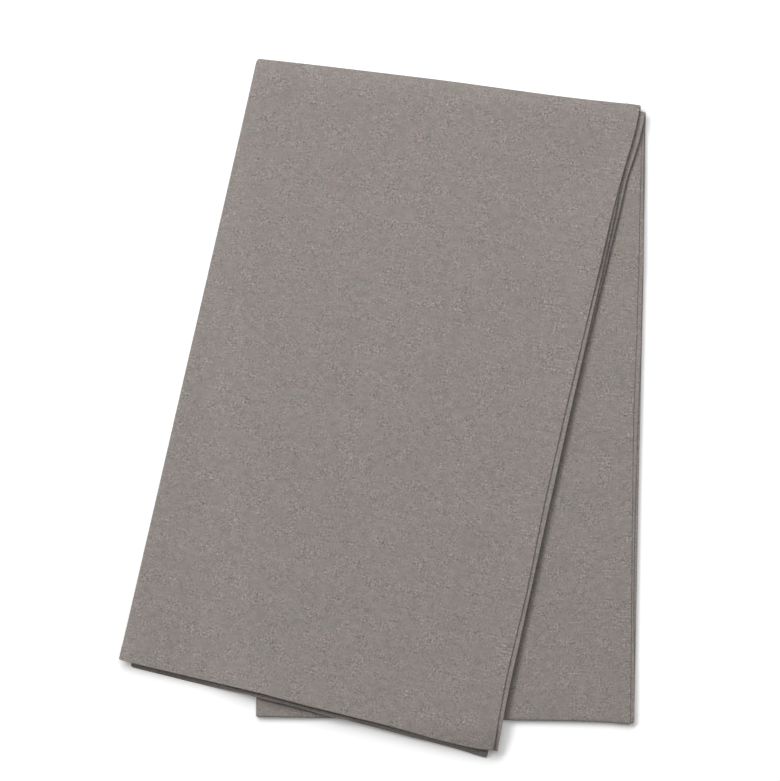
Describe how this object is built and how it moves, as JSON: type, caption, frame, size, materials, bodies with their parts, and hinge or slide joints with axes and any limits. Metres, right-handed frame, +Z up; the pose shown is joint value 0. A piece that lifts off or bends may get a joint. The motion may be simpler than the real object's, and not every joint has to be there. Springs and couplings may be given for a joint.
{
  "type": "folded tablecloth",
  "caption": "Rectangular hemmed tablecloth in a plain weave, folded lengthwise and crosswise into a flat stack, with its upper half turned a little askew.",
  "frame": {"origin": "centre of the bounding box at the plane the folded cloth rests on", "axes": "+Z up, out of the top of the stack; +Y from the free ends and the cross fold towards the last fold; +X towards the edge with the long hems"},
  "size_m": [0.5184, 0.6854, 0.019],
  "materials": {
    "cloth": "matt plain-woven cotton cloth in warm taupe-grey melange, with fine pale and dark flecks and short slubs"
  },
  "bodies": {
    "root": {"tablecloth": "cloth"}
  },
  "joints": []
}
